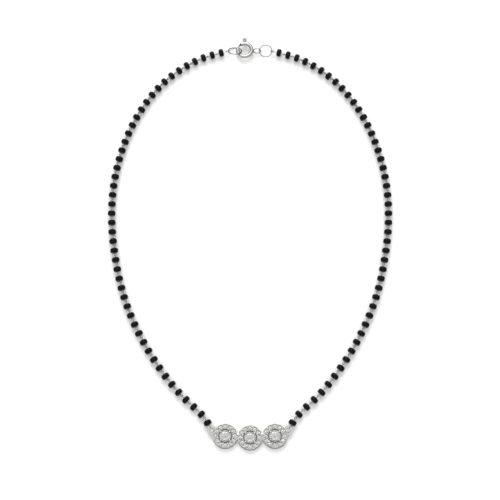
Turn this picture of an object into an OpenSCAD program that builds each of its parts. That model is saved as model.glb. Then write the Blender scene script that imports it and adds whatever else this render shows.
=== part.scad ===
// A mangalsutra: black beads on silver eye pins, three haloed stones and a spring ring.
// It lies flat with its stones upwards. +X is to the right as seen from above, +Y runs from the
// pendant to the clasp, and z = 0 is under the beads and the pendant. Sizes are in millimetres.

/* [Beads] */
// Beads on each side of the pendant
bead_count = 48; // [40:1:56]
// Outer diameter of a bead
bead_d = 3.15; // [2.4:0.05:3.6]
// Thickness of a bead along its wire
bead_t = 1.95; // [1.6:0.05:2.6]

/* [Eye pins] */
// Diameter of the eye wire
wire_d = 0.26; // [0.2:0.01:0.28]
// Diameter of an eye, measured on the middle of its wire
eye_d = 0.84; // [0.8:0.02:1.0]
// Straight wire left between a bead and its eye
neck = 0.13; // [0.06:0.01:0.4]
// Extra length of the links next to the pendant
pull = 0.28; // [0:0.02:0.5]
// Straight wire at the two links that meet the clasp
clasp_stem = 0.9; // [0.5:0.1:2]

/* [Pendant] */
// Diameter of a halo disc
disc_d = 9.3; // [8:0.1:11]
// Thickness of a halo disc
disc_t = 1.9; // [1.7:0.1:2.6]
// How much lower the middle disc lies than its neighbours
sag = 0.6; // [0:0.1:1.5]
// Stones in a halo
halo_count = 12; // [10:1:14]
// Width of the dark groove around a middle stone
groove_w = 0.44; // [0.3:0.02:0.6]
// Diameter of the small discs at the two ends
ear_d = 3.5; // [3.3:0.1:4]
// Direction of the end discs, counted from the row of discs
ear_angle = 22; // [15:1:30]

/* [Clasp] */
// Outer diameter of the spring ring
ring_d = 7.0; // [6:0.1:8]
// Diameter of the spring ring's tube
tube_d = 1.4; // [1.1:0.05:1.5]
// Outer diameter of the tilted jump ring
left_ring_d = 5.8; // [5.2:0.1:6.5]
// Outer diameter of the flat jump ring
right_ring_d = 5.5; // [4.2:0.1:6]
// Diameter of the jump rings' wire
ring_wire_d = 0.4; // [0.3:0.02:0.5]
// Length of the spring ring's soldered eye
lug_len = 3.2; // [3:0.1:4.2]
// How far the trigger can be drawn back, in degrees
travel = 46; // [42:1:48]

/* [Hidden] */
$fn = 48;
wire_fn = 24;
tube_fn = 32;
play = 0.15;        // gap between two linked wires
thread = 0.11;      // gap between a bead and its wire
fit = 0.04;         // gap round a stone
slide = 0.08;       // running gap of the bolt in its tube
link_gap = 0.12;    // gap between the clasp's linked rings
eps = 0.01;

// Eye pins and beads
drawn = 0.015;                              // the straight wire is thinner than the eyes by this
clasp_eye_more = 0.28;                      // the eye on a clasp ring is wider by this
ear_eye_more = 0.08;                        // the eye on an end disc is wider by this
wire_r = wire_d / 2;
pin_r = wire_r - drawn;
bore_r = pin_r + thread;
eye_r = eye_d / 2;
hook = 2 * eye_r - 2 * wire_r - play;       // centre distance of two linked eyes
pitch = bead_t + 2 * neck + 2 * (eye_r + wire_r) + hook;
bead_r = bead_d / 2;
bead_z = bead_r;
bead_edge = 0.38 * bead_t;                  // rounding of a bead's outer edges
clasp_eye_r = eye_r + clasp_eye_more;
ear_eye_r = eye_r + ear_eye_more;

// Cut of the stones, as parts of a stone's width
table_part = 0.56;
crown_part = 0.14;
pavilion_part = 0.43;
bezel_part = 0.55;                          // height in the crown where its facets turn
small_waist = 0.8;                          // width there, of a small stone
centre_waist = 0.84;                        // width there, of a middle stone
waist_room = 0.01;
girdle_t = 0.07;
culet_part = 0.3;
culet_drop = 0.72;
tip_r = 0.03;

// One halo disc
disc_r = disc_d / 2;
rim = 0.27;
rim_cut = 0.14;
seat_wall = 0.14;
collet_wall = 0.13;
crowd = 0.88;                               // stone width over stone spacing
halo_half = crowd * sin(180 / halo_count);
halo_r = (disc_r - rim) / (1 + halo_half);
halo_stone_d = 2 * halo_half * halo_r;
groove_out = halo_r - halo_stone_d / 2 - seat_wall;
groove_in = groove_out - groove_w;
centre_d = 2 * (groove_in - collet_wall);
groove_floor = 0.7;
azure_r = 0.32;                             // light holes under the small stones
window_part = 0.28;                         // light hole under a middle stone, part of its width
centre_z = disc_t + 0.05;                   // underside of a middle stone's girdle
culet_z = 0.15;                             // height of a middle stone's point over the back
centre_deep = centre_z - culet_z;
halo_z = disc_t - 0.02;
pearl_r = 0.27;                             // bead prongs between halo stones
pearl_outer = 0.28;                         // their places, as parts of a stone's width
pearl_inner = 0.34;
claw_r = 0.33;
claw_tip_r = 0.4;
claw_rise = 0.35;
claw_out = centre_d / 2 + 0.14;
claw_h = centre_z + claw_rise - groove_floor;

// The row of discs and its two ends
overlap = 0.03;
step = disc_d - overlap;
side_x = sqrt(step * step - sag * sag);
bridge_w = 1;
bridge_l = 2.2;
bridge_t = 1.1;
bridge_z = 0.25;
ear_r = ear_d / 2;
ear_rim = 0.95;                             // an end disc's metal outside its stone
ear_stone_d = ear_d - 2 * ear_rim;
ear_out = 0.62;                             // end disc's middle outside the halo disc
ear_reach = disc_r + ear_out;
ear_bite = 0.05;                            // how far an end disc runs into the halo disc's flat
ear_lip = 0.42;                             // thickness of an end disc
ear_z = disc_t - ear_lip / 2;
ear_room = 0.1;                             // straight wire between the last bead and its eye
cup_h = 0.8;
cup_sink = 0.6;
cup_wall = 0.14;
prong_r = 0.2;
prong_out = ear_stone_d / 2 + 0.1;
prong_turn = 100;
hole_wall = 0.2;
hole_r = wire_r + 0.165;
hole_out = ear_r - hole_wall - hole_r;
hole_turn = 60;
ear_x = side_x + ear_reach * cos(ear_angle);
ear_y = sag + ear_reach * sin(ear_angle);
hole_x = ear_x + hole_out * cos(hole_turn);
hole_y = ear_y + hole_out * sin(hole_turn);

// Clasp
tube_r = tube_d / 2;
ring_r = ring_d / 2 - tube_r;               // middle of the tube
bolt_r = tube_r / 2;
bore_out = bolt_r + slide;
left_r = (left_ring_d - ring_wire_d) / 2;
right_r = (right_ring_d - ring_wire_d) / 2;
ring_wire_r = ring_wire_d / 2;
lug_wire_r = 0.18;
lug_r = 0.95;
lug_sink = 0.12;
tilt = 38;
lug_tilt = 50;
clasp_z = left_r * sin(tilt) + ring_wire_r;
lean_gap = 0.65;                            // the leaning ring is nearest to the tube off its middle
rise = 0.4;                                 // spring ring's middle above the line of the jump rings
left_in = ring_r - tube_r - ring_wire_r - lean_gap; // the leaning ring passes the spring ring here
lug_reach = lug_len - lug_sink - 2 * lug_wire_r - ring_wire_r - link_gap;
clasp_w = 2 * left_r + left_in + ring_r + tube_r + lug_reach + 2 * right_r;
start_x = clasp_w / 2;
left_x = -start_x + left_r;
spring_x = -start_x + 2 * left_r + left_in;
right_x = start_x - right_r;
lug_x = spring_x + ring_r + tube_r - lug_sink + lug_len / 2;
gap_from = 122;                             // mouth of the spring ring, in degrees from +X
gap_to = 164;
trigger_at = 90;
socket = 8;                                 // depth of the socket that the bolt shuts into
bolt_tip = 5;
bolt_tail = 42;
bore_from = -60;
bore_past = 2;
slot_w = 0.6;
slot_before = 5;
slot_past = 9;
arm_w = 0.5;
arm_t = 0.44;
knob_r = 0.85;
knob_t = 0.5;
knob_out = ring_r + tube_r + 0.87;

// Course of one side, from the clasp's ring to the pendant's end disc
COURSE = [
    [8.6, 83.9], [11.6, 83.1], [18.9, 80.9], [25.6, 77.3], [31.6, 72.9], [36.8, 67.6],
    [45, 55.2], [50.4, 41.4], [53.3, 26.6], [53.6, 11.6], [51.7, -3.3], [48.2, -17.8],
    [42.5, -31.5], [34.8, -44.5], [25.3, -56.4], [18.4, -62.8], [15.7, -65.9], [14.5, -68.3]
];
cuts = 12;                                  // pieces of the drawn line between two points
clasp_slack = (clasp_eye_r - wire_r - ring_wire_r) / 2;
first_len = clasp_slack + clasp_eye_r + wire_r + clasp_stem + bead_t / 2 + pitch / 2;
last_len = (pitch + pull) / 2 + bead_t / 2 + ear_room + wire_r + 2 * ear_eye_r;
links = bead_count - 2;
upper = ceil(bead_count / 2);               // beads of a side in its upper half

function sum(v, i = 0, s = 0) = i == len(v) ? s : sum(v, i + 1, s + v[i]);
function share(j) = j / (len(COURSE) - 1);
// The course, k times as large, with its two ends led onto the clasp and the pendant
function bent(k, j) = [
    k * COURSE[j].x + (start_x - k * COURSE[0].x) * pow(1 - share(j), 2)
        + (hole_x - k * COURSE[len(COURSE) - 1].x) * pow(share(j), 2),
    k * COURSE[j].y
];
function corner(k) = [for (j = [0 : len(COURSE) - 1]) bent(k, j)];
function knot(c, j) = j < 0 ? 2 * c[0] - c[1]
    : j >= len(c) ? 2 * c[len(c) - 1] - c[len(c) - 2] : c[j];
// Direction at a point, from its two sides weighted by their lengths
function lean(c, j) =
    let (a = norm(knot(c, j) - knot(c, j - 1)), b = norm(knot(c, j + 1) - knot(c, j)))
    ((knot(c, j) - knot(c, j - 1)) / a * b + (knot(c, j + 1) - knot(c, j)) / b * a) / (a + b);
function on(c, j, t) =
    let (s = norm(c[j + 1] - c[j]), m = lean(c, j) * s, n = lean(c, j + 1) * s)
    (2 * t * t * t - 3 * t * t + 1) * c[j] + (t * t * t - 2 * t * t + t) * m
    + (3 * t * t - 2 * t * t * t) * c[j + 1] + (t * t * t - t * t) * n;
function line(k) = let (c = corner(k)) [
    for (j = [0 : len(c) - 2], i = [0 : cuts - 1]) on(c, j, i / cuts), c[len(c) - 1]];
function steps(p) = [for (i = [1 : len(p) - 1]) norm(p[i] - p[i - 1])];
function run(v) = [for (i = 0, s = 0; i <= len(v); s = s + (i < len(v) ? v[i] : 0), i = i + 1) s];

// The course is scaled until it is as long as the chain of links
tight = [for (i = [1 : links]) pitch + pull * pow(i / links, 3)];
chain_len = first_len + sum(tight) + last_len;
k_guess = chain_len / sum(steps(line(1)));
k_loop = k_guess * chain_len / sum(steps(line(k_guess)));
LINE = line(k_loop);
REACH = run(steps(LINE));
stretch = REACH[len(REACH) - 1] / chain_len;
TABLE_X = [for (i = [0 : len(REACH) - 1]) [REACH[i], LINE[i].x]];
TABLE_Y = [for (i = [0 : len(REACH) - 1]) [REACH[i], LINE[i].y]];
function at(s) = [lookup(s, TABLE_X), lookup(s, TABLE_Y)];
AWAY = run(concat([first_len], tight, [last_len]));
top_y = LINE[0].y;
low_y = LINE[len(LINE) - 1].y;
pendant_y = low_y - hole_y;
middle_y = (top_y + knob_out + knob_r + pendant_y - disc_r) / 2;

// Where link i begins, and how its eyes and bead sit on it
function joint(i) = let (p = at(AWAY[i] * stretch))
    [p.x, p.y, i == 0 ? clasp_z : i == bead_count ? ear_z : bead_z];
function heading(a, b) = atan2(b.y - a.y, b.x - a.x);
function climb(a, b) = atan2(b.z - a.z, norm([b.x - a.x, b.y - a.y]));
function tail(i) = i == 0 ? clasp_slack : hook / 2;
function front(i) = i == bead_count - 1 ? ear_eye_r : hook / 2;
function r_back(i) = i == 0 ? clasp_eye_r : eye_r;
function r_front(i) = i == bead_count - 1 ? ear_eye_r : eye_r;
function bead_at(i) = let (w = norm(joint(i + 1) - joint(i)))
    i == 0 ? w - pitch / 2 : i == bead_count - 1 ? (pitch + pull) / 2 : w / 2;

module side(left) {
    translate([0, -middle_y, 0]) mirror([left ? 1 : 0, 0, 0]) children();
}

module along(i) {
    a = joint(i);
    b = joint(i + 1);
    translate(a) rotate([0, -climb(a, b), heading(a, b)]) children();
}

module bead() {
    flat = bead_t / 2 - bead_edge;
    rotate([0, 90, 0]) rotate_extrude() intersection() {
        union() {
            translate([0, -bead_t / 2]) square([bead_r - bead_edge, bead_t]);
            translate([0, -flat]) square([bead_r, 2 * flat]);
            for (z = [-flat, flat]) translate([bead_r - bead_edge, z]) circle(r = bead_edge);
        }
        translate([bore_r, -bead_t]) square([bead_d, 2 * bead_t]);
    }
}

module eye(r) {
    rotate_extrude() translate([r, 0]) circle(r = wire_r, $fn = wire_fn);
}

module eye_pin(i) {
    w = norm(joint(i + 1) - joint(i));
    from = tail(i) + r_back(i);
    to = w - front(i) - r_front(i);
    translate([tail(i), 0, 0]) rotate([90, 0, 0]) eye(r_back(i));
    translate([from, 0, 0]) rotate([0, 90, 0]) cylinder(h = to - from, r = pin_r, $fn = wire_fn);
    translate([w - front(i), 0, 0]) rotate([i == bead_count - 1 ? 90 : 0, 0, 0]) eye(r_front(i));
}

module beads(left, from, to) {
    side(left) for (i = [from : to - 1]) along(i) translate([bead_at(i), 0, 0]) bead();
}

module eye_pins(left) {
    side(left) for (i = [0 : bead_count - 1]) along(i) eye_pin(i);
}

module beads_left_upper() color("black") beads(true, 0, upper);
module beads_left_lower() color("black") beads(true, upper, bead_count);
module beads_right_upper() color("black") beads(false, 0, upper);
module beads_right_lower() color("black") beads(false, upper, bead_count);
module eye_pins_left() color("silver") eye_pins(true);
module eye_pins_right() color("silver") eye_pins(false);

// Outline of a stone, or of its seat when grown by g; deep is its depth under the girdle
function gem(d, g, waist, deep) = let (crown = d * crown_part) [
    [0, -deep - g], [d / 2 + g, 0], [d / 2 + g, girdle_t],
    [waist * d / 2 + g, girdle_t + crown * bezel_part + g / 2],
    [table_part * d / 2 + g, girdle_t + crown + g], [0, girdle_t + crown + g]];

module small_stone(d) {
    rotate_extrude($fn = 8) polygon(gem(d, 0, small_waist, d * pavilion_part));
}

module small_seat(d) {
    seat(d, azure_r, small_waist, d * pavilion_part);
}

module facet_ring(r, z, n, turn) {
    translate([0, 0, z]) rotate(turn) cylinder(h = eps, r = r, $fn = n);
}

module centre_stone() {
    r = centre_d / 2;
    crown = centre_d * crown_part;
    hull() {
        facet_ring(r * table_part, girdle_t + crown - eps, 8, 0);
        facet_ring(r * centre_waist, girdle_t + crown * bezel_part - eps, 8, 22.5);
        facet_ring(r, 0, 16, 0);
        facet_ring(r, girdle_t - eps, 16, 0);
        facet_ring(r * culet_part, -centre_deep * culet_drop, 8, 22.5);
        facet_ring(tip_r, -centre_deep, 8, 0);
    }
}

module seat(d, hole, waist, deep) {
    rotate_extrude() polygon(gem(d, fit, waist, deep));
    translate([0, 0, -disc_t * 2]) cylinder(h = disc_t * 2, r = hole);
}

module pearls(r) {
    for (i = [0 : halo_count - 1]) rotate(90 + (i + 0.5) * 360 / halo_count)
        translate([r, 0, disc_t]) sphere(r = pearl_r, $fn = wire_fn);
}

module claw() {
    cylinder(h = claw_h, r = claw_r, $fn = wire_fn);
    translate([0, 0, claw_h]) sphere(r = claw_tip_r, $fn = wire_fn);
}

module halo_disc() {
    difference() {
        union() {
            difference() {
                rotate_extrude() polygon([[0, 0], [disc_r - rim_cut, 0], [disc_r, rim_cut],
                    [disc_r, disc_t - rim_cut], [disc_r - rim_cut, disc_t], [0, disc_t]]);
                rotate_extrude() translate([groove_in, groove_floor]) square([groove_w, disc_t]);
            }
            pearls(halo_r + halo_stone_d * pearl_outer);
            pearls(halo_r - halo_stone_d * pearl_inner);
            for (a = [45 : 90 : 315]) rotate(a) translate([claw_out, 0, groove_floor]) claw();
        }
        translate([0, 0, centre_z])
            seat(centre_d, centre_d * window_part, centre_waist + waist_room, centre_deep);
        for (i = [0 : halo_count - 1]) rotate(90 + i * 360 / halo_count)
            translate([halo_r, 0, halo_z]) small_seat(halo_stone_d);
    }
}

module ear_solid() {
    translate([0, 0, disc_t - ear_lip]) cylinder(h = ear_lip, r = ear_r);
    translate([0, 0, disc_t - ear_lip - cup_sink]) cylinder(h = cup_h, r = ear_stone_d / 2 + cup_wall);
}

module ear_prongs(s) {
    for (a = [-prong_turn : prong_turn : prong_turn])
        rotate(s > 0 ? ear_angle + a : 180 - ear_angle + a)
            translate([prong_out, 0, disc_t]) sphere(r = prong_r, $fn = wire_fn);
}

module ear(s) {
    difference() {
        union() {
            difference() {
                translate([s * ear_x, ear_y, 0]) ear_solid();
                translate([s * side_x, sag, -eps])
                    cylinder(h = disc_t * 2, r = disc_r - rim_cut - ear_bite);
            }
            translate([s * ear_x, ear_y, 0]) ear_prongs(s);
            translate([s * side_x, sag, 0]) halo_disc();
        }
        translate([s * ear_x, ear_y, halo_z]) small_seat(ear_stone_d);
        translate([s * hole_x, hole_y, 0]) cylinder(h = disc_t * 2, r = hole_r, $fn = wire_fn);
    }
}

module setting() color("silver") translate([0, pendant_y - middle_y, 0]) {
    halo_disc();
    for (s = [-1, 1]) {
        ear(s);
        translate([(s * side_x - bridge_w) / 2, (sag - bridge_l) / 2, bridge_z])
            cube([bridge_w, bridge_l, bridge_t]);
    }
}

module stone_place(x, y, z) {
    translate([x, pendant_y - middle_y + y, z]) children();
}

module halo_stones(x, y) {
    stone_place(x, y, halo_z) for (i = [0 : halo_count - 1])
        rotate(90 + i * 360 / halo_count) translate([halo_r, 0, 0]) small_stone(halo_stone_d);
}

module end_stone(s) {
    stone_place(s * ear_x, ear_y, halo_z) small_stone(ear_stone_d);
}

module centre_stone_left() color("white") stone_place(-side_x, sag, centre_z) centre_stone();
module centre_stone_middle() color("white") stone_place(0, 0, centre_z) centre_stone();
module centre_stone_right() color("white") stone_place(side_x, sag, centre_z) centre_stone();
module halo_stones_left() color("white") halo_stones(-side_x, sag);
module halo_stones_middle() color("white") halo_stones(0, 0);
module halo_stones_right() color("white") halo_stones(side_x, sag);
module end_stone_left() color("white") end_stone(-1);
module end_stone_right() color("white") end_stone(1);

module clasp_place(x, y = 0) {
    translate([x, top_y - middle_y + y, clasp_z]) children();
}

module hoop(r, w) {
    rotate_extrude() translate([r, 0]) circle(r = w, $fn = wire_fn);
}

module jump_ring_left() color("silver")
    clasp_place(left_x) rotate([-tilt, 0, 0]) hoop(left_r, ring_wire_r);
module jump_ring_right() color("silver") clasp_place(right_x) hoop(right_r, ring_wire_r);

module bend(from, to, r) {
    rotate_extrude(start = from, angle = to - from) translate([ring_r, 0]) circle(r = r, $fn = tube_fn);
}

module lug() {
    flat = lug_len - 2 * (lug_r + lug_wire_r);
    for (s = [-1, 1]) {
        translate([s * flat / 2, 0, 0]) rotate_extrude(start = s > 0 ? -90 : 90, angle = 180)
            translate([lug_r, 0]) circle(r = lug_wire_r, $fn = wire_fn);
        translate([-flat / 2, s * lug_r, 0]) rotate([0, 90, 0])
            cylinder(h = flat, r = lug_wire_r, $fn = wire_fn);
    }
}

module spring_ring_case() color("silver") {
    clasp_place(spring_x, rise) difference() {
        bend(gap_to, 360 + gap_from, tube_r);
        bend(bore_from, gap_from + bore_past, bore_out);
        bend(gap_to - bore_past, gap_to + socket + bore_past, bore_out);
        rotate_extrude(start = trigger_at - travel - slot_before, angle = travel + slot_before + slot_past)
            translate([ring_r, -slot_w / 2]) square([tube_r * 2, slot_w]);
    }
    clasp_place(lug_x) rotate([lug_tilt, 0, 0]) lug();
}

module spring_ring_bolt() color("silver") clasp_place(spring_x, rise) {
    bend(trigger_at - bolt_tail, gap_to + bolt_tip, bolt_r);
    rotate(trigger_at) {
        translate([ring_r, -arm_w / 2, -arm_t / 2]) cube([knob_out - ring_r, arm_w, arm_t]);
        translate([knob_out, 0, -knob_t / 2]) cylinder(h = knob_t, r = knob_r);
    }
}

beads_left_upper();
beads_left_lower();
beads_right_upper();
beads_right_lower();
eye_pins_left();
eye_pins_right();
setting();
centre_stone_left();
centre_stone_middle();
centre_stone_right();
halo_stones_left();
halo_stones_middle();
halo_stones_right();
end_stone_left();
end_stone_right();
jump_ring_left();
jump_ring_right();
spring_ring_case();
spring_ring_bolt();
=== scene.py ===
"""A mangalsutra laid out on a pale table.

Black beads on silver eye pins run from a spring ring clasp to a pendant of three haloed stones. The solid
model is the frame: each strand's beads and pins, the stones and the jump rings are made again here in finer
form, in the places that the frame's own solids hold. The cast setting and the spring ring are softened copies
of their solids.
"""

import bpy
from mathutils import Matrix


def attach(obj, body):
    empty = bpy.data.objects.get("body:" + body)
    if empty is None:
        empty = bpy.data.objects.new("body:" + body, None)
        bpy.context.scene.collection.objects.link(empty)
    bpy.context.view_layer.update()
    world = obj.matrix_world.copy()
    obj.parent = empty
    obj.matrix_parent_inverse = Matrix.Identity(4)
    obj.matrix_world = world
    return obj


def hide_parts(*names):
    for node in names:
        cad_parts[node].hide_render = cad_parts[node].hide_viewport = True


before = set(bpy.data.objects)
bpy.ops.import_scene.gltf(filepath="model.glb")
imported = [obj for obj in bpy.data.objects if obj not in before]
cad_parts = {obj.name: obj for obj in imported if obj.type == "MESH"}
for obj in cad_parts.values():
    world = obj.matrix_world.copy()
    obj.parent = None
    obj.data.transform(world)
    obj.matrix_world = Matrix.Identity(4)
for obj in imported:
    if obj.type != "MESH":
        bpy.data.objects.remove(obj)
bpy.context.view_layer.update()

import logging
import math
from dataclasses import dataclass, field
from enum import Enum

import bmesh
import bpy
import numpy as np
from mathutils import Vector

MM = 0.001
# Nearly all of a noise texture's values lie between these two.
NOISE_LOW, NOISE_HIGH = 0.3, 0.7
# A random spin goes from 0 to this, in radians.
FULL_SPIN = 6.283
UP = (0, 0, 1)
LOG = logging.getLogger("mangalsutra")


class Side(Enum):
    """The side of the loop, or of the clasp, that a piece is on, as seen from above."""

    LEFT = "left"
    RIGHT = "right"


class Disc(Enum):
    """The pendant's three halo discs."""

    LEFT = "left"
    MIDDLE = "middle"
    RIGHT = "right"


class Cut(Enum):
    """The two ways in which the stones are cut, with the number of sides of their girdles."""

    SINGLE = 8
    FULL = 16


# Colour and node helpers


def linear(hex_colour: str) -> tuple[float, float, float, float]:
    """Turns an sRGB hex colour into linear light.

    Args:
        hex_colour: Six hex digits after a #.

    Returns:
        Red, green, blue and an alpha of 1.
    """
    parts = [int(hex_colour[i : i + 2], 16) / 255 for i in (1, 3, 5)]
    return tuple(c / 12.92 if c <= 0.04045 else ((c + 0.055) / 1.055) ** 2.4 for c in parts) + (1.0,)


def add_node(
    tree: bpy.types.NodeTree, kind: str, wires: dict | None = None, **settings: object
) -> bpy.types.Node:
    """Adds a node with its settings, and links or sets its inputs.

    Args:
        tree: The material's, world's or geometry's tree.
        kind: The node's Blender type name.
        wires: Input name or number to a socket to link from, or a plain value.
        **settings: Properties of the node itself.

    Returns:
        The new node.
    """
    node = tree.nodes.new(kind)
    for name, value in settings.items():
        setattr(node, name, value)
    for key, value in (wires or {}).items():
        if isinstance(value, bpy.types.NodeSocket):
            tree.links.new(value, node.inputs[key])
        else:
            node.inputs[key].default_value = value
    return node


def per_mm(size_mm: float) -> float:
    """Texture scale whose features are about size_mm across, on Object coordinates in metres."""
    return 1 / (size_mm * MM)


# Finishes


@dataclass(frozen=True)
class Finish:
    """What every finish shares: a named node material built from Object coordinates."""

    name: str

    def start(self) -> tuple[bpy.types.Material, bpy.types.NodeTree, bpy.types.NodeSocket]:
        """Makes the empty material.

        Returns:
            The material, its tree and its Object coordinate socket.
        """
        material = bpy.data.materials.new(self.name)
        material.use_nodes = True
        tree = material.node_tree
        tree.nodes.clear()
        place = add_node(tree, "ShaderNodeTexCoord").outputs["Object"]
        return material, tree, place

    def close(self, tree: bpy.types.NodeTree, shader: bpy.types.Node) -> None:
        """Links the shader to the output."""
        add_node(tree, "ShaderNodeOutputMaterial", {"Surface": shader.outputs[0]})


@dataclass(frozen=True)
class PolishedSilver(Finish):
    """Sterling silver under thin rhodium plate, tumbled and buffed: pale, with soft broken reflections.

    Where shade is painted, its colour darkens: recess_mm are points in the plan, recess_r_mm the least and
    the greatest distance from them, and recess_top_mm the height above which the metal is bright again,
    fading in over recess_soft_mm. edge is its colour at a grazing look.
    """

    bright: str
    dull: str
    edge: str
    roughness: float = 0.17
    # Buffing marks are finer than this, and drawn as coarse as they need to be to break a reflection.
    grain_mm: float = 0.22
    grain_spread: tuple[float, float] = (0.8, 1.35)
    bump_mm: float = 0.004
    bump_strength: float = 0.5
    # A hand-held buff leaves shallow waves of about this length.
    ripple_mm: float = 0.6
    ripple_noise: tuple[float, float] = (0.35, 0.7)
    ripple_most: float = 0.35
    # Where shade is painted: near these points, between these distances from them, and below this height.
    recess_mm: tuple[tuple[float, float], ...] = ()
    recess_r_mm: tuple[float, float] = (2.15, 2.64)
    recess_top_mm: float = 1.86
    recess_soft_mm: float = 0.35
    # The colour of the painted shade.
    painted_shade: str = "#85827e"

    def recess(self, tree: bpy.types.NodeTree, place: bpy.types.NodeSocket) -> bpy.types.NodeSocket:
        """Marks where shade is painted.

        Args:
            tree: The material's tree.
            place: Its Object coordinates.

        Returns:
            1 where shade is painted and 0 elsewhere.
        """
        parts = add_node(tree, "ShaderNodeSeparateXYZ", {"Vector": place}).outputs
        flat = add_node(tree, "ShaderNodeCombineXYZ", {"X": parts["X"], "Y": parts["Y"]}).outputs[0]
        near = None
        for x, y in self.recess_mm:
            way = add_node(tree, "ShaderNodeVectorMath", {
                0: flat, 1: (x * MM, y * MM, 0.0)}, operation="DISTANCE").outputs[1]
            near = way if near is None else add_node(
                tree, "ShaderNodeMath", {0: near, 1: way}, operation="MINIMUM").outputs[0]
        inner, outer = self.recess_r_mm
        inside = add_node(tree, "ShaderNodeMath", {
            0: near, 1: (inner + outer) / 2 * MM, 2: (outer - inner) / 2 * MM}, operation="COMPARE")
        low = add_node(tree, "ShaderNodeMapRange", {
            "Value": parts["Z"], 1: (self.recess_top_mm - self.recess_soft_mm) * MM,
            2: self.recess_top_mm * MM, 3: 1.0, 4: 0.0})
        both = {0: inside.outputs[0], 1: low.outputs["Result"]}
        return add_node(tree, "ShaderNodeMath", both, operation="MULTIPLY").outputs[0]

    def build(self) -> bpy.types.Material:
        """Makes the material.

        Returns:
            The finished metal.
        """
        material, tree, place = self.start()
        ripple = add_node(tree, "ShaderNodeTexNoise", {
            "Vector": place, "Scale": per_mm(self.ripple_mm), "Detail": 3.0})
        grain = add_node(tree, "ShaderNodeTexNoise", {
            "Vector": place, "Scale": per_mm(self.grain_mm), "Detail": 2.0})
        low, high = self.ripple_noise
        tone = add_node(tree, "ShaderNodeMapRange", {
            "Value": ripple.outputs["Fac"], 1: low, 2: high, 3: 0.0, 4: self.ripple_most})
        colour = add_node(tree, "ShaderNodeMix", {
            0: tone.outputs["Result"], 6: linear(self.bright), 7: linear(self.dull)},
            data_type="RGBA").outputs[2]
        # Painted shade where the mask is 1.
        if self.recess_mm:
            colour = add_node(tree, "ShaderNodeMix", {
                0: self.recess(tree, place), 6: colour, 7: linear(self.painted_shade)},
                data_type="RGBA").outputs[2]
        smooth, rough = (self.roughness * part for part in self.grain_spread)
        polish = add_node(tree, "ShaderNodeMapRange", {
            "Value": grain.outputs["Fac"], 1: NOISE_LOW, 2: NOISE_HIGH, 3: smooth, 4: rough})
        bump = add_node(tree, "ShaderNodeBump", {
            "Height": grain.outputs["Fac"], "Strength": self.bump_strength, "Distance": self.bump_mm * MM})
        shader = add_node(tree, "ShaderNodeBsdfPrincipled", {
            "Base Color": colour, "Metallic": 1.0, "Roughness": polish.outputs["Result"],
            "Specular Tint": linear(self.edge), "Normal": bump.outputs["Normal"]})
        self.close(tree, shader)
        return material


@dataclass(frozen=True)
class BlackGlassBead(Finish):
    """Pressed black glass, fire-polished: near black to the core, with a clear gloss and faint orange-peel."""

    core: str = "#030303"
    bloom: str = "#0b0b0c"
    roughness: float = 0.05
    gloss_spread: tuple[float, float] = (0.7, 1.5)
    # Glass bends light by 1.5. Its gloss is held back, because the room is white and would grey the beads.
    ior: float = 1.5
    gloss: float = 0.14
    # The orange-peel of a fire-polished bead is about this wide, and far shallower.
    peel_mm: float = 0.5
    peel_deep_mm: float = 0.01
    peel_strength: float = 0.35
    # Specks of dust and wear, as coarse as they need to be to show at all.
    dust_mm: float = 0.12
    dust_noise: tuple[float, float] = (0.55, 0.8)

    def build(self) -> bpy.types.Material:
        """Makes the material.

        Returns:
            The finished glass.
        """
        material, tree, place = self.start()
        peel = add_node(tree, "ShaderNodeTexNoise", {
            "Vector": place, "Scale": per_mm(self.peel_mm), "Detail": 2.0})
        dust = add_node(tree, "ShaderNodeTexNoise", {
            "Vector": place, "Scale": per_mm(self.dust_mm), "Detail": 4.0})
        low, high = self.dust_noise
        fleck = add_node(tree, "ShaderNodeMapRange", {
            "Value": dust.outputs["Fac"], 1: low, 2: high, 3: 0.0, 4: 1.0})
        colour = add_node(tree, "ShaderNodeMix", {
            0: fleck.outputs["Result"], 6: linear(self.core), 7: linear(self.bloom)}, data_type="RGBA")
        smooth, rough = (self.roughness * part for part in self.gloss_spread)
        polish = add_node(tree, "ShaderNodeMapRange", {
            "Value": peel.outputs["Fac"], 1: NOISE_LOW, 2: NOISE_HIGH, 3: smooth, 4: rough})
        bump = add_node(tree, "ShaderNodeBump", {
            "Height": peel.outputs["Fac"], "Strength": self.peel_strength,
            "Distance": self.peel_deep_mm * MM})
        shader = add_node(tree, "ShaderNodeBsdfPrincipled", {
            "Base Color": colour.outputs[2], "Roughness": polish.outputs["Result"], "IOR": self.ior,
            "Specular IOR Level": self.gloss, "Normal": bump.outputs["Normal"]})
        self.close(tree, shader)
        return material


@dataclass(frozen=True)
class CutStone(Finish):
    """Cubic zirconia, facet cut and polished: clear, heavily bending, with sharp bright and dark facets."""

    tint: str
    ior: float = 2.16
    clarity: float = 1.0
    # Polish varies from facet to facet, and a facet is about this wide.
    facet_mm: float = 0.7
    haze: float = 0.008

    def build(self) -> bpy.types.Material:
        """Makes the material.

        Returns:
            The finished stone.
        """
        material, tree, place = self.start()
        cloud = add_node(tree, "ShaderNodeTexNoise", {
            "Vector": place, "Scale": per_mm(self.facet_mm), "Detail": 1.0})
        polish = add_node(tree, "ShaderNodeMapRange", {
            "Value": cloud.outputs["Fac"], 1: NOISE_LOW, 2: NOISE_HIGH, 3: 0.0, 4: self.haze})
        shader = add_node(tree, "ShaderNodeBsdfPrincipled", {
            "Base Color": linear(self.tint), "Roughness": polish.outputs["Result"], "IOR": self.ior,
            "Transmission Weight": self.clarity})
        self.close(tree, shader)
        return material


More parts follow.
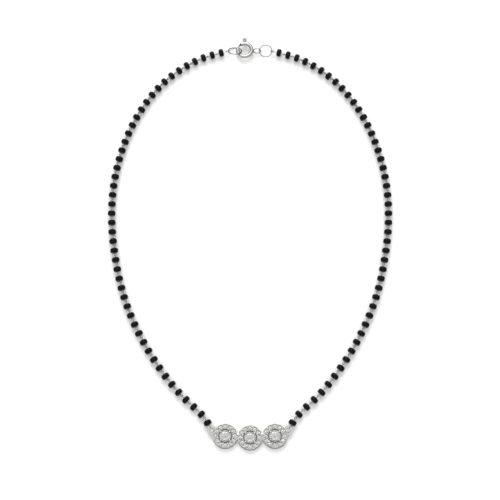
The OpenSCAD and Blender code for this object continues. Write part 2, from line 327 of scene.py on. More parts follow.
@dataclass(frozen=True)
class WhiteCard(Finish):
    """Matt white card under the necklace, with the slightest tooth."""

    paper: str = "#fdfdfd"
    matt: tuple[float, float] = (0.85, 0.95)
    sheen: float = 0.1
    # The card's tooth is this wide.
    tooth_mm: float = 3.0

    def build(self) -> bpy.types.Material:
        """Makes the material.

        Returns:
            The finished card.
        """
        material, tree, place = self.start()
        tooth = add_node(tree, "ShaderNodeTexNoise", {"Vector": place, "Scale": per_mm(self.tooth_mm)})
        low, high = self.matt
        rough = add_node(tree, "ShaderNodeMapRange", {
            "Value": tooth.outputs["Fac"], 1: NOISE_LOW, 2: NOISE_HIGH, 3: low, 4: high})
        shader = add_node(tree, "ShaderNodeBsdfPrincipled", {
            "Base Color": linear(self.paper), "Roughness": rough.outputs["Result"],
            "Specular IOR Level": self.sheen})
        self.close(tree, shader)
        return material


# Reading the solids


def merged_copy(node: str, gap: float = 1e-6) -> bmesh.types.BMesh:
    """Copies a solid's triangles and merges their shared corners.

    Args:
        node: The frame's node name.
        gap: Distance under which corners are one, in metres.

    Returns:
        The merged mesh, for the caller to free.
    """
    mesh = bmesh.new()
    mesh.from_mesh(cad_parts[node].data)
    bmesh.ops.remove_doubles(mesh, verts=mesh.verts, dist=gap)
    return mesh


def islands(node: str) -> list[np.ndarray]:
    """Splits a node that holds loose solids into its solids.

    Args:
        node: The frame's node name.

    Returns:
        The corner points of each loose solid, in metres.
    """
    mesh = merged_copy(node)
    seen: set[int] = set()
    found = []
    for first in mesh.verts:
        if first.index in seen:
            continue
        seen.add(first.index)
        group, queue = [], [first]
        while queue:
            point = queue.pop()
            group.append(tuple(point.co))
            for edge in point.link_edges:
                other = edge.other_vert(point)
                if other.index not in seen:
                    seen.add(other.index)
                    queue.append(other)
        found.append(np.array(group))
    mesh.free()
    return found


def middle(points: np.ndarray) -> np.ndarray:
    """Centre of the box round a solid's points."""
    return (points.min(0) + points.max(0)) / 2


def spread_axes(points: np.ndarray, about: np.ndarray) -> np.ndarray:
    """The directions in which a solid's points spread, least first, as columns."""
    return np.linalg.eigh(np.cov((points - about).T))[1]


# Geometry Nodes


@dataclass
class Rule:
    """A Geometry Nodes tree with named size inputs, run on a carrier mesh and turned into a plain mesh."""

    name: str
    sizes: dict[str, float]
    tree: bpy.types.NodeTree = field(init=False)
    source: bpy.types.Node = field(init=False)
    ids: dict[str, str] = field(init=False, default_factory=dict)

    def __post_init__(self) -> None:
        """Makes the empty tree and its inputs."""
        self.tree = bpy.data.node_groups.new(self.name, "GeometryNodeTree")
        self.tree.interface.new_socket("Geometry", in_out="INPUT", socket_type="NodeSocketGeometry")
        self.tree.interface.new_socket("Geometry", in_out="OUTPUT", socket_type="NodeSocketGeometry")
        for label in self.sizes:
            socket = self.tree.interface.new_socket(label, in_out="INPUT", socket_type="NodeSocketFloat")
            self.ids[label] = socket.identifier
        self.source = self.add("NodeGroupInput")

    def add(self, kind: str, wires: dict | None = None, **settings: object) -> bpy.types.Node:
        """Adds a node to the rule's tree; see add_node."""
        return add_node(self.tree, kind, wires, **settings)

    def size(self, label: str) -> bpy.types.NodeSocket:
        """The socket of a named size."""
        return self.source.outputs[label]

    def read(self, attribute: str, kind: str) -> bpy.types.NodeSocket:
        """The carrier's attribute of that name and data type."""
        node = self.add("GeometryNodeInputNamedAttribute", {"Name": attribute}, data_type=kind)
        return node.outputs["Attribute"]

    def math(self, operation: str, *values: object) -> bpy.types.NodeSocket:
        """The result of one operation on sockets or numbers."""
        return self.add("ShaderNodeMath", dict(enumerate(values)), operation=operation).outputs[0]

    def facing(self) -> bpy.types.NodeSocket:
        """The turn that carries +Z to the carrier's face and +X to its axis."""
        node = self.add("FunctionNodeAxesToRotation", {
            "Primary Axis": self.read("face", "FLOAT_VECTOR"),
            "Secondary Axis": self.read("axis", "FLOAT_VECTOR")}, primary_axis="Z", secondary_axis="X")
        return node.outputs[0]

    def wire(self, path: bpy.types.NodeSocket, sides: int) -> bpy.types.NodeSocket:
        """Draws a round wire of the rule's Wire Radius along a curve, with closed ends.

        Args:
            path: The curve.
            sides: Sides of the wire.

        Returns:
            The wire's mesh.
        """
        section = self.add("GeometryNodeCurvePrimitiveCircle", {
            "Resolution": sides, "Radius": self.size("Wire Radius")})
        drawn = self.add("GeometryNodeCurveToMesh", {
            "Curve": path, "Profile Curve": section.outputs[0], "Fill Caps": True})
        return drawn.outputs[0]

    def finish(self, shape: bpy.types.NodeSocket, material: bpy.types.Material, smooth: bool) -> None:
        """Ends the tree in Realize Instances, shading and Set Material.

        Args:
            shape: What the tree has made.
            material: Its finish.
            smooth: Whether its faces are shaded smooth.
        """
        real = self.add("GeometryNodeRealizeInstances", {"Geometry": shape})
        shade = self.add("GeometryNodeSetShadeSmooth", {"Geometry": real.outputs[0], "Shade Smooth": smooth})
        dress = self.add("GeometryNodeSetMaterial", {"Geometry": shade.outputs[0], "Material": material})
        self.add("NodeGroupOutput", {0: dress.outputs[0]})

    def run(self, name: str, carrier: bpy.types.Mesh, material: bpy.types.Material) -> bpy.types.Object:
        """Runs the rule on a carrier mesh.

        Args:
            name: The new piece's name.
            carrier: Points or edges with the attributes that the tree reads.
            material: The piece's finish.

        Returns:
            A plain mesh object at the origin, with no modifier left.
        """
        host = bpy.data.objects.new(name + "_carrier", carrier)
        bpy.context.scene.collection.objects.link(host)
        modifier = host.modifiers.new("rule", "NODES")
        modifier.node_group = self.tree
        for label, value in self.sizes.items():
            modifier[self.ids[label]] = float(value)
        host.update_tag()
        evaluated = host.evaluated_get(bpy.context.evaluated_depsgraph_get())
        mesh = bpy.data.meshes.new_from_object(evaluated)
        host.modifiers.remove(modifier)
        bpy.data.objects.remove(host)
        return placed(name, mesh, material)


def placed(name: str, mesh: bpy.types.Mesh, material: bpy.types.Material) -> bpy.types.Object:
    """Gives a mesh its one finish and puts it in the scene.

    Args:
        name: The new piece's name.
        mesh: Its mesh, already in its place.
        material: Its finish.

    Returns:
        The piece, at the origin.
    """
    mesh.name = name
    mesh.materials.clear()
    mesh.materials.append(material)
    piece = bpy.data.objects.new(name, mesh)
    bpy.context.scene.collection.objects.link(piece)
    return piece


def carrier_mesh(
    name: str,
    points: np.ndarray,
    edges: list[tuple[int, int]] | None = None,
    vectors: dict[str, np.ndarray] | None = None,
    numbers: dict[str, np.ndarray] | None = None,
) -> bpy.types.Mesh:
    """Makes a bare mesh that carries places and directions into a rule.

    Args:
        name: The mesh's name.
        points: Corner places in metres.
        edges: Pairs of corner numbers.
        vectors: Vector attributes, a row for each point.
        numbers: Number attributes, a value for each point.

    Returns:
        The mesh.
    """
    mesh = bpy.data.meshes.new(name)
    mesh.from_pydata([tuple(map(float, p)) for p in points], edges or [], [])
    for kind, part, rows in (("FLOAT_VECTOR", "vector", vectors), ("FLOAT", "value", numbers)):
        for label, row in (rows or {}).items():
            data = mesh.attributes.new(label, kind, "POINT").data
            data.foreach_set(part, np.asarray(row, np.float32).ravel())
    return mesh


@dataclass
class BeadRule(Rule):
    """Turns a bead's round section about its hole and sets a copy on each point.

    Its sizes are Bead Radius, Thickness, Bore Radius, Edge and Lip roundings in metres, and Unevenness.
    """

    sides: int = 28
    corner_steps: int = 6
    uneven_seed: int = 7
    spin_seed: int = 11
    # The mean size, so that the largest bead is no larger than its solid.
    mean_scale: float = 0.985

    def build(self, material: bpy.types.Material) -> None:
        """Fills the tree.

        Args:
            material: The beads' finish.
        """
        wall = self.math("SUBTRACT", self.size("Bead Radius"), self.size("Bore Radius"))
        section = self.add("GeometryNodeCurvePrimitiveQuadrilateral", {
            "Width": wall, "Height": self.size("Thickness")})
        at = self.add("ShaderNodeSeparateXYZ", {0: self.add("GeometryNodeInputPosition").outputs[0]})
        outer = self.math("GREATER_THAN", at.outputs["X"], 0.0)
        more = self.math("SUBTRACT", self.size("Edge"), self.size("Lip"))
        section = self.add("GeometryNodeFilletCurve", {
            "Curve": section.outputs[0], "Count": self.corner_steps, "Limit Radius": True,
            "Radius": self.math("MULTIPLY_ADD", outer, more, self.size("Lip"))}, mode="POLY")
        shift = self.add("ShaderNodeCombineXYZ", {"X": self.math("MULTIPLY", wall, -0.5)})
        section = self.add("GeometryNodeTransform", {
            "Geometry": section.outputs[0], "Translation": shift.outputs[0]})
        ring = self.add("GeometryNodeCurvePrimitiveCircle", {
            "Resolution": self.sides, "Radius": self.size("Bead Radius")})
        bead = self.add("GeometryNodeCurveToMesh", {
            "Curve": ring.outputs[0], "Profile Curve": section.outputs[0]})
        uneven = self.add("FunctionNodeRandomValue", {
            "Min": (-1.0,) * 3, "Max": (1.0,) * 3, "Seed": self.uneven_seed}, data_type="FLOAT_VECTOR")
        scale = self.add("ShaderNodeVectorMath", {
            0: uneven.outputs[0], 1: self.size("Unevenness"), 2: (self.mean_scale,) * 3},
            operation="MULTIPLY_ADD")
        spin = self.add("FunctionNodeRandomValue", {
            "Min": 0.0, "Max": FULL_SPIN, "Seed": self.spin_seed}, data_type="FLOAT")
        about = self.add("ShaderNodeCombineXYZ", {"Z": spin.outputs[1]})
        own = self.add("FunctionNodeEulerToRotation", {0: about.outputs[0]})
        turned = self.add("FunctionNodeRotateRotation", {
            0: self.facing(), 1: own.outputs[0]}, rotation_space="LOCAL")
        beads = self.add("GeometryNodeInstanceOnPoints", {
            "Points": self.source.outputs[0], "Instance": bead.outputs[0], "Rotation": turned.outputs[0],
            "Scale": scale.outputs[0]})
        self.finish(beads.outputs[0], material, True)


@dataclass
class HoopRule(Rule):
    """Bends a nearly closed wire loop on each point, each of its own size and one wire thickness.

    Its sizes are Wire Radius in metres, and Sweep in radians.
    """

    sides: int = 10
    steps: int = 40
    # Where the wire begins, in radians from the carrier's axis.
    start: float = 0.02

    def build(self, material: bpy.types.Material) -> None:
        """Fills the tree.

        Args:
            material: The wire's finish.
        """
        arc = self.add("GeometryNodeCurveArc", {
            "Resolution": self.steps, "Radius": 1.0, "Start Angle": self.start,
            "Sweep Angle": self.size("Sweep")})
        loops = self.add("GeometryNodeInstanceOnPoints", {
            "Points": self.source.outputs[0], "Instance": arc.outputs[0], "Rotation": self.facing(),
            "Scale": self.read("size", "FLOAT")})
        real = self.add("GeometryNodeRealizeInstances", {"Geometry": loops.outputs[0]})
        self.finish(self.wire(real.outputs[0], self.sides), material, True)


@dataclass
class StemRule(Rule):
    """Draws a straight round wire along each edge. Its size is Wire Radius in metres."""

    sides: int = 10

    def build(self, material: bpy.types.Material) -> None:
        """Fills the tree.

        Args:
            material: The wire's finish.
        """
        curve = self.add("GeometryNodeMeshToCurve", {"Mesh": self.source.outputs[0]})
        self.finish(self.wire(curve.outputs[0], self.sides), material, True)


@dataclass
class GemRule(Rule):
    """Cuts a round stone and sets a copy on each point, table upwards.

    Its sizes are Table, Crown, Pavilion and Girdle, as parts of the stone's radius.
    """

    cut: Cut = Cut.SINGLE
    spin_seed: int = 5
    facets: int = 8
    # Where the full cut's crown facets change slope: out from the table's radius, and up the crown.
    bezel_out: float = 1.48
    bezel_up: float = 0.55
    # Where its pavilion facets change slope: out from the middle, and down the pavilion.
    lower_out: float = 0.28
    lower_down: float = 0.73
    culet: float = 0.02

    def build(self, material: bpy.types.Material) -> None:
        """Fills the tree.

        Args:
            material: The stones' finish.
        """
        half_step = math.pi / self.facets
        table, girdle, crown = self.size("Table"), self.size("Girdle"), self.size("Crown")
        top = self.math("ADD", girdle, crown)
        mid = self.math("MULTIPLY_ADD", crown, self.bezel_up, girdle)
        deep = self.math("MULTIPLY", self.size("Pavilion"), -1.0)
        bezel = (self.facets, self.math("MULTIPLY", table, self.bezel_out), mid, half_step)
        lower = (self.facets, self.lower_out, self.math("MULTIPLY", deep, self.lower_down), half_step)
        full = self.cut is Cut.FULL
        rings = [
            (self.facets, table, top, 0.0), *([bezel] if full else []),
            (self.cut.value, 1.0, girdle, 0.0), (self.cut.value, 1.0, 0.0, 0.0), *([lower] if full else []),
            (self.facets, self.culet, deep, 0.0)]
        join = self.add("GeometryNodeJoinGeometry")
        for count, radius, height, turn in rings:
            ring = self.add("GeometryNodeMeshCircle", {"Vertices": count, "Radius": radius})
            shift = self.add("ShaderNodeCombineXYZ", {"Z": height})
            place = self.add("GeometryNodeTransform", {
                "Geometry": ring.outputs[0], "Translation": shift.outputs[0], "Rotation": (0.0, 0.0, turn)})
            self.tree.links.new(place.outputs[0], join.inputs[0])
        hull = self.add("GeometryNodeConvexHull", {"Geometry": join.outputs[0]})
        spin = self.add("FunctionNodeRandomValue", {
            "Min": 0.0, "Max": FULL_SPIN, "Seed": self.spin_seed}, data_type="FLOAT")
        about = self.add("ShaderNodeCombineXYZ", {"Z": spin.outputs[1]})
        stones = self.add("GeometryNodeInstanceOnPoints", {
            "Points": self.source.outputs[0], "Instance": hull.outputs[0], "Rotation": about.outputs[0],
            "Scale": self.read("size", "FLOAT")})
        self.finish(stones.outputs[0], material, False)


# The necklace's parts


@dataclass(frozen=True)
class Pin:
    """An eye pin's middle, its direction of travel, and how far its two ends lie from its middle, in metres."""

    centre: np.ndarray
    axis: np.ndarray
    low: float
    high: float


@dataclass
class Strand:
    """Forty-eight beads on their eye pins, from the clasp to the pendant."""

    side: Side
    glass: bpy.types.Material
    silver: bpy.types.Material
    bead_d: float = 3.15
    bead_t: float = 1.95
    bore_r: float = 0.225
    edge_r: float = 0.74
    lip_r: float = 0.08
    unevenness: float = 0.015
    wire_d: float = 0.26
    eye_r: float = 0.42
    # The first pin's eye goes round the jump ring, and the last one's through the end disc.
    clasp_eye_r: float = 0.7
    ear_eye_r: float = 0.5
    # An eye is bent this far round, in radians, and the wire between the eyes is drawn a little thinner.
    eye_sweep: float = 6.17
    stem_part: float = 0.94

    def bead_nodes(self) -> list[str]:
        """The frame's nodes that hold this strand's beads."""
        return [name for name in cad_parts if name.startswith(f"beads_{self.side.value}")]

    def ordered(self) -> list[Pin]:
        """Follows the pins from the clasp to the pendant.

        Returns:
            The pins in order.
        """
        solids = islands(f"eye_pins_{self.side.value}")
        centres = np.array([middle(p) for p in solids])
        order = [int(np.argmax(centres[:, 1]))]
        while len(order) < len(solids):
            rest = [i for i in range(len(solids)) if i not in order]
            order.append(min(rest, key=lambda i: float(np.linalg.norm(centres[i] - centres[order[-1]]))))
        pins = []
        for n, i in enumerate(order):
            near = centres[order[min(n + 1, len(order) - 1)]] - centres[order[max(n - 1, 0)]]
            axis = spread_axes(solids[i], solids[i].mean(0))[:, -1]
            axis = axis if axis @ near > 0 else -axis
            along = (solids[i] - centres[i]) @ axis
            pins.append(Pin(centres[i], axis, float(along.min()), float(along.max())))
        return pins

    def beads(self, pins: list[Pin]) -> bpy.types.Object:
        """Sets a turned glass bead on each pin.

        Args:
            pins: The pins in order.

        Returns:
            The strand's beads as one piece.
        """
        places = np.array([middle(p) for node in self.bead_nodes() for p in islands(node)])
        spots = [places[np.argmin(np.linalg.norm(places - pin.centre, axis=1))] for pin in pins]
        faces = np.array([pin.axis for pin in pins])
        carrier = carrier_mesh(
            "bead_places", np.array(spots), vectors={"axis": np.cross(faces, UP), "face": faces})
        rule = BeadRule("turned_bead", {
            "Bead Radius": self.bead_d / 2 * MM, "Thickness": self.bead_t * MM,
            "Bore Radius": self.bore_r * MM, "Edge": self.edge_r * MM, "Lip": self.lip_r * MM,
            "Unevenness": self.unevenness})
        rule.build(self.glass)
        return rule.run(f"black_beads_{self.side.value}", carrier, self.glass)

    def wires(self, pins: list[Pin]) -> bpy.types.Object:
        """Bends an eye at both ends of each wire and draws the straight wire between.

        Args:
            pins: The pins in order.

        Returns:
            The strand's eye pins as one piece.
        """
        wire = self.wire_d / 2 * MM
        stems, edges, eyes, axes, faces, sizes = [], [], [], [], [], []
        last = len(pins) - 1
        for n, pin in enumerate(pins):
            across = np.cross(pin.axis, UP)
            across /= np.linalg.norm(across)
            up = np.cross(across, pin.axis)
            back = (self.clasp_eye_r if n == 0 else self.eye_r) * MM
            front = (self.ear_eye_r if n == last else self.eye_r) * MM
            back_at = pin.centre + pin.axis * (pin.low + back + wire)
            front_at = pin.centre + pin.axis * (pin.high - front - wire)
            edges.append((len(stems), len(stems) + 1))
            stems += [back_at + pin.axis * back, front_at - pin.axis * front]
            eyes += [back_at, front_at]
            axes += [pin.axis, -pin.axis]
            faces += [across, across if n == last else up]
            sizes += [back, front]
        stem = StemRule("pin_stem", {"Wire Radius": wire * self.stem_part})
        stem.build(self.silver)
        eye = HoopRule("pin_eye", {"Wire Radius": wire, "Sweep": self.eye_sweep})
        eye.build(self.silver)
        eye_places = carrier_mesh(
            "eye_places", np.array(eyes), vectors={"axis": np.array(axes), "face": np.array(faces)},
            numbers={"size": np.array(sizes)})
        return joined(f"eye_pins_wire_{self.side.value}", [
            stem.run("stems", carrier_mesh("stem_places", np.array(stems), edges), self.silver),
            eye.run("eyes", eye_places, self.silver)])

    def build(self) -> None:
        """Builds and dresses the strand."""
        pins = self.ordered()
        settle(self.beads(pins), "necklace", "bead", *self.bead_nodes())
        settle(self.wires(pins), "necklace", "silver", f"eye_pins_{self.side.value}")


@dataclass
class Pendant:
    """Three halo discs soldered in a row, their stones and the two end discs."""

    silver: bpy.types.Material
    full_cut: bpy.types.Material
    single_cut: bpy.types.Material
    # A stone's proportions, as parts of its radius, and the thickness of its girdle.
    table: float = 0.56
    crown: float = 0.28
    pavilion: float = 0.86
    girdle_mm: float = 0.07
    # A stone is this much smaller than its solid, so that its corners stay inside it.
    seat_part: float = 0.995

    @staticmethod
    def disc_places() -> tuple[tuple[float, float], ...]:
        """The middles of the three discs in millimetres, from the frame's middle stones."""
        middles = [middle(islands(f"centre_stone_{disc.value}")[0]) / MM for disc in Disc]
        return tuple((float(m[0]), float(m[1])) for m in middles)

    def stones(self, node: str, cut: Cut) -> bpy.types.Object:
        """Cuts the stones of one node.

        Args:
            node: The frame's node of one or more loose stones.
            cut: Their cut.

        Returns:
            The stones as one piece.
        """
        spots, sizes = [], []
        for points in islands(node):
            radius = float(np.ptp(points[:, :2], axis=0).max()) / 2
            top = points[:, 2].max()
            spots.append((*middle(points)[:2], top - self.crown * radius - self.girdle_mm * MM))
            sizes.append(radius * self.seat_part)
        stone = self.full_cut if cut is Cut.FULL else self.single_cut
        rule = GemRule(f"{cut.name.lower()}_cut", {
            "Table": self.table, "Crown": self.crown, "Pavilion": self.pavilion,
            "Girdle": self.girdle_mm * MM / float(np.mean(sizes))}, cut=cut)
        rule.build(stone)
        carrier = carrier_mesh(node + "_places", np.array(spots), numbers={"size": np.array(sizes)})
        return rule.run(node.replace("stone", "gem"), carrier, stone)

    def build(self) -> None:
        """Builds and dresses the pendant."""
        settle(softened("cast_setting", "setting", self.silver), "necklace", "silver", "setting")
        for disc in Disc:
            for kind, cut in (("centre_stone", Cut.FULL), ("halo_stones", Cut.SINGLE)):
                node = f"{kind}_{disc.value}"
                settle(self.stones(node, cut), "necklace", "stone", node)
        for side in Side:
            node = f"end_stone_{side.value}"
            settle(self.stones(node, Cut.SINGLE), "necklace", "stone", node)


@dataclass
class Clasp:
    """The spring ring, its bolt, its soldered eye, and the jump rings on either side of it."""

    silver: bpy.types.Material
    wire: bpy.types.Material
    bolt: bpy.types.Material
    wire_d: float = 0.4
    wire_sides: int = 16
    # A jump ring is bent this far round, and its cut lies this far from the clasp's line, in radians.
    ring_sweep: float = 6.25
    cut_turn: float = 1.1
    ring_r: float = 3.5
    # The soldered eye begins this far outside the tube.
    eye_clear: float = 0.05
    # The bolt's rod runs along this circle, and leaves the tube at this angle from +X.
    rod_r: float = 2.8
    mouth_deg: float = 126.0
    bolt_sharp_deg: float = 20.0
    bolt_round_mm: float = 0.12

    @staticmethod
    def ring_place() -> tuple[tuple[float, float], ...]:
        """Finds the middle of the spring ring from the left, upper and lower edges of its solid.

        Returns:
            The one place, in millimetres.
        """
        points = islands("spring_ring_case")[0] / MM
        low, high = points.min(0), points.max(0)
        radius = (high[1] - low[1]) / 2
        return ((float(low[0] + radius), float(low[1] + radius)),)

    @classmethod
    def mouth_place(cls) -> tuple[tuple[float, float], ...]:
        """Finds where the bolt's rod leaves the tube.

        Returns:
            The one place, in millimetres.
        """
        x, y = cls.ring_place()[0]
        turn = math.radians(cls.mouth_deg)
        return ((x + cls.rod_r * math.cos(turn), y + cls.rod_r * math.sin(turn)),)

    def jump_ring(self, side: Side) -> bpy.types.Object:
        """Bends one jump ring, with the fine cut where its ends meet.

        Args:
            side: Which ring.

        Returns:
            The ring.
        """
        points = islands(f"jump_ring_{side.value}")[0]
        centre = middle(points)
        face = spread_axes(points, centre)[:, 0]
        face = face if face[2] > 0 else -face
        axis = np.array([-1.0 if side is Side.LEFT else 1.0, 0.0, 0.0])
        axis = axis * math.cos(self.cut_turn) + np.cross(face, axis) * math.sin(self.cut_turn)
        wire = self.wire_d / 2 * MM
        radius = float(np.ptp(points[:, 0])) / 2 - wire
        rule = HoopRule("jump_ring", {"Wire Radius": wire, "Sweep": self.ring_sweep}, sides=self.wire_sides)
        rule.build(self.wire)
        carrier = carrier_mesh(
            "ring_place", centre[None], vectors={"axis": axis[None], "face": face[None]},
            numbers={"size": np.array([radius])})
        return rule.run(f"jump_ring_wire_{side.value}", carrier, self.wire)

    def tube(self) -> bpy.types.Object:
        """Dresses the bent tube, with the eye beyond its right edge in the darker wire finish, a painted shade.

        Returns:
            The tube and its eye as one piece.
        """
        tube = softened("spring_ring_tube", "spring_ring_case", self.silver)
        # The eye takes the darker wire finish, a painted shade.
        tube.data.materials.append(self.wire)
        eye_from = (self.ring_place()[0][0] + self.ring_r + self.eye_clear) * MM
        for face in tube.data.polygons:
            face.material_index = int(face.center.x > eye_from)
        return tube

    def build(self) -> None:
        """Builds and dresses the clasp."""
        for side in Side:
            settle(self.jump_ring(side), "necklace", "silver", f"jump_ring_{side.value}")
        settle(self.tube(), "necklace", "silver", "spring_ring_case")
        trigger = softened(
            "spring_ring_trigger", "spring_ring_bolt", self.bolt, self.bolt_sharp_deg, self.bolt_round_mm)
        settle(trigger, "clasp_bolt", "silver", "spring_ring_bolt")


def softened(
    name: str,
    node: str,
    material: bpy.types.Material,
    sharp_deg: float = 32.0,
    round_mm: float = 0.0,
    flat_deg: float = 1.0,
    corner_deg: float = 60.0,
) -> bpy.types.Object:
    """Copies a cast solid with its corners merged and its round faces shaded smooth.

    Args:
        name: The new piece's name.
        node: The frame's node.
        material: Its finish.
        sharp_deg: Edges that turn more than this stay sharp.
        round_mm: How far outer corners are rounded back, as a tumbled part's are.
        flat_deg: Faces that turn less than this are one, where corners are rounded.
        corner_deg: Outer edges that turn more than this are corners to round.

    Returns:
        The copy.
    """
    merged = merged_copy(node)
    if round_mm:
        bmesh.ops.dissolve_limit(
            merged, angle_limit=math.radians(flat_deg), verts=merged.verts, edges=merged.edges)
        least = math.radians(corner_deg)
        corners = [e for e in merged.edges if e.is_convex and e.calc_face_angle(0.0) > least]
        bmesh.ops.bevel(
            merged, geom=corners, offset=round_mm * MM, segments=2, profile=0.5, affect="EDGES",
            clamp_overlap=True)
    for face in merged.faces:
        face.smooth = True
    for edge in merged.edges:
        edge.smooth = len(edge.link_faces) == 2 and edge.calc_face_angle(math.pi) < math.radians(sharp_deg)
    mesh = bpy.data.meshes.new(name)
    merged.to_mesh(mesh)
    merged.free()
    return placed(name, mesh, material)


def joined(name: str, parts: list[bpy.types.Object]) -> bpy.types.Object:
    """Joins pieces of one finish into a new piece.

    Args:
        name: The joined piece's name.
        parts: The pieces, which are removed.

    Returns:
        The joined piece.
    """
    whole = bmesh.new()
    for part in parts:
        whole.from_mesh(part.data)
    mesh = bpy.data.meshes.new(name)
    whole.to_mesh(mesh)
    whole.free()
    material = parts[0].data.materials[0]
    for part in parts:
        bpy.data.objects.remove(part)
    return placed(name, mesh, material)


def settle(piece: bpy.types.Object, body: str, slot: str, *nodes: str) -> None:
    """Tells the frame what a piece rides on and stands for, and reports it.

    Args:
        piece: The finished piece.
        body: The body that it rides on.
        slot: Not used.
        *nodes: The frame's nodes that it stands for.
    """
    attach(piece, body)
    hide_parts(*nodes)
    LOG.info("%s for %s: %d faces", piece.name, " and ".join(nodes), len(piece.data.polygons))


# The studio


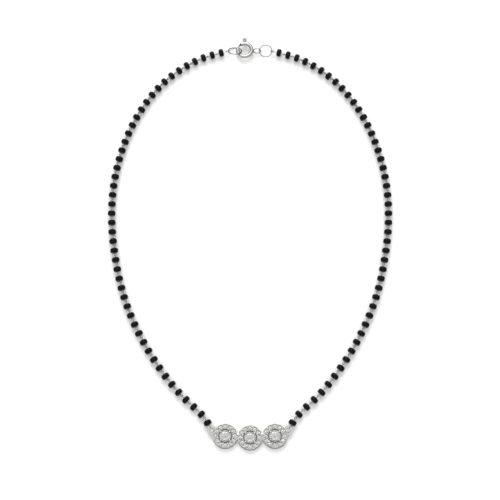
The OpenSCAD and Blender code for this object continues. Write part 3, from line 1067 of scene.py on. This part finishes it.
@dataclass
class Studio:
    """White card, a soft box at the top of the picture and the camera almost overhead."""

    card: bpy.types.Material
    # Half the card's width in metres, and how far it lies under the necklace, so that the two don't touch.
    card_half: float = 1.5
    card_drop_mm: float = 0.02
    # The soft box hangs here, in metres.
    lamp_place: tuple[float, float, float] = (-0.15, 1.72, 1.48)
    lamp_size: float = 1.4
    lamp_watts: float = 24.0
    # The room's brightness by the height of the way that one looks, from below the table to straight up.
    room: tuple[tuple[float, float], ...] = (
        (0.0, 0.14), (0.42, 0.23), (0.56, 1.06), (0.84, 1.3), (0.915, 0.74), (0.95, 0.8), (0.985, 1.14))
    # Large soft patches of light and shade, so that facets and curves have something to show.
    patch_scale: float = 2.2
    patch_noise: tuple[float, float] = (0.42, 0.58)
    patch_levels: tuple[float, float] = (0.66, 1.4)
    tilt_deg: float = 16.0
    distance_mm: float = 550.0
    target_mm: tuple[float, float, float] = (-0.03, -5.54, 1.5)
    photo_px: float = 500.0
    focus_px: float = 1423.4
    sensor_mm: float = 36.0
    near_and_far: tuple[float, float] = (0.01, 10.0)

    def floor(self) -> None:
        """Lays the card."""
        mesh = bpy.data.meshes.new("card")
        h = self.card_half
        mesh.from_pydata([(-h, -h, 0), (h, -h, 0), (h, h, 0), (-h, h, 0)], [], [(0, 1, 2, 3)])
        card = placed("card", mesh, self.card)
        card.location.z = -self.card_drop_mm * MM

    def lamp(self) -> None:
        """Hangs a square soft box that faces the necklace."""
        data = bpy.data.lights.new("soft_box", "AREA")
        data.size = self.lamp_size
        data.energy = self.lamp_watts
        lamp = bpy.data.objects.new("soft_box", data)
        lamp.location = self.lamp_place
        lamp.rotation_euler = (-Vector(self.lamp_place)).to_track_quat("-Z", "Y").to_euler()
        bpy.context.scene.collection.objects.link(lamp)

    def sky(self) -> None:
        """Lights the room: bright overhead, darker near the horizon."""
        world = bpy.data.worlds.new("room")
        bpy.context.scene.world = world
        world.use_nodes = True
        tree = world.node_tree
        tree.nodes.clear()
        way = add_node(tree, "ShaderNodeTexCoord").outputs["Generated"]
        height = add_node(tree, "ShaderNodeSeparateXYZ", {"Vector": way}).outputs["Z"]
        ramp = add_node(tree, "ShaderNodeValToRGB", {"Fac": height})
        stops = ramp.color_ramp.elements
        stops[0].position, stops[1].position = self.room[0][0], self.room[-1][0]
        for at, _ in self.room[1:-1]:
            stops.new(at)
        for stop, (_, level) in zip(stops, self.room):
            stop.color = (level,) * 3 + (1,)
        patch = add_node(tree, "ShaderNodeTexNoise", {
            "Vector": way, "Scale": self.patch_scale, "Detail": 1.0})
        strength = add_node(tree, "ShaderNodeMapRange", {
            "Value": patch.outputs["Fac"], 1: self.patch_noise[0], 2: self.patch_noise[1],
            3: self.patch_levels[0], 4: self.patch_levels[1]})
        back = add_node(tree, "ShaderNodeBackground", {
            "Color": ramp.outputs[0], "Strength": strength.outputs["Result"]})
        add_node(tree, "ShaderNodeOutputWorld", {"Surface": back.outputs[0]})

    def camera(self) -> None:
        """Sets the camera where the photograph was taken from."""
        data = bpy.data.cameras.new("camera")
        data.sensor_width = self.sensor_mm
        data.lens = self.sensor_mm * self.focus_px / self.photo_px
        data.clip_start, data.clip_end = self.near_and_far
        camera = bpy.data.objects.new("camera", data)
        lean = math.radians(self.tilt_deg)
        way = Vector((0.0, -math.sin(lean), math.cos(lean)))
        camera.location = (Vector(self.target_mm) + way * self.distance_mm) * MM
        camera.rotation_euler = (lean, 0, 0)
        bpy.context.scene.collection.objects.link(camera)
        bpy.context.scene.camera = camera

    def build(self) -> None:
        """Builds the studio."""
        self.floor()
        self.sky()
        self.lamp()
        self.camera()
        bpy.context.scene.view_settings.view_transform = "Standard"


def main() -> None:
    """Builds the necklace and the studio."""
    logging.basicConfig(level=logging.INFO, format="%(name)s: %(message)s")
    # Fire-polished glass gives deep black with a small clear glint.
    glass = BlackGlassBead("fire_polished_black_glass").build()
    # Drawn wire keeps the die's fine scores, which give a softer shine than a buffed face; its greyer colour is
    # a painted shade.
    drawn = PolishedSilver(
        "drawn_silver_wire", bright="#bbbbb9", dull="#959593", edge="#6a6a6a", roughness=0.22).build()
    # Tube is bright on top, and a painted shade greys it down both flanks, below a height.
    bent = PolishedSilver(
        "bent_silver_tube", bright="#bebdbb", dull="#a2a19e", edge="#727272", recess_mm=Clasp.ring_place(),
        recess_r_mm=(-1.0, 9.0), recess_top_mm=2.63, painted_shade="#b0b0ae").build()
    # The jump rings and the tube's eye take a darker grey copy of the silver, a painted shade.
    shaded_wire = PolishedSilver(
        "silver_wire_painted_shade", bright="#a09f9d", dull="#807f7d", edge="#4a4a4a", roughness=0.22).build()
    # The bolt slides, so it is duller, and a painted shadow darkens the rod at the mouth of the tube.
    shadowed_bolt = PolishedSilver(
        "silver_bolt_painted_mouth_shadow", bright="#aeaeab", dull="#8a8a87", edge="#626262",
        recess_mm=Clasp.mouth_place(), recess_r_mm=(-1.0, 0.65), recess_top_mm=2.7, painted_shade="#3a3a39").build()
    # The cast setting is the brightest metal, with painted shade in the grooves round the middle stones.
    cast = PolishedSilver(
        "cast_polished_silver", bright="#e1e1dd", dull="#bebeb9", edge="#b6b6b6", roughness=0.16,
        recess_mm=Pendant.disc_places()).build()
    # Cut stones show small bright and dark facets, and the middle ones have a darker tint, a painted shade.
    full_cut = CutStone("full_cut_cubic_zirconia", tint="#c6c6c5").build()
    single_cut = CutStone("single_cut_cubic_zirconia", tint="#dededc").build()
    # Matt card gives an even white with soft contact shadows.
    Studio(WhiteCard("white_card").build()).build()
    for side in Side:
        Strand(side, glass, drawn).build()
    Pendant(cast, full_cut, single_cut).build()
    Clasp(bent, shaded_wire, shadowed_bolt).build()


if __name__ == "__main__":
    main()
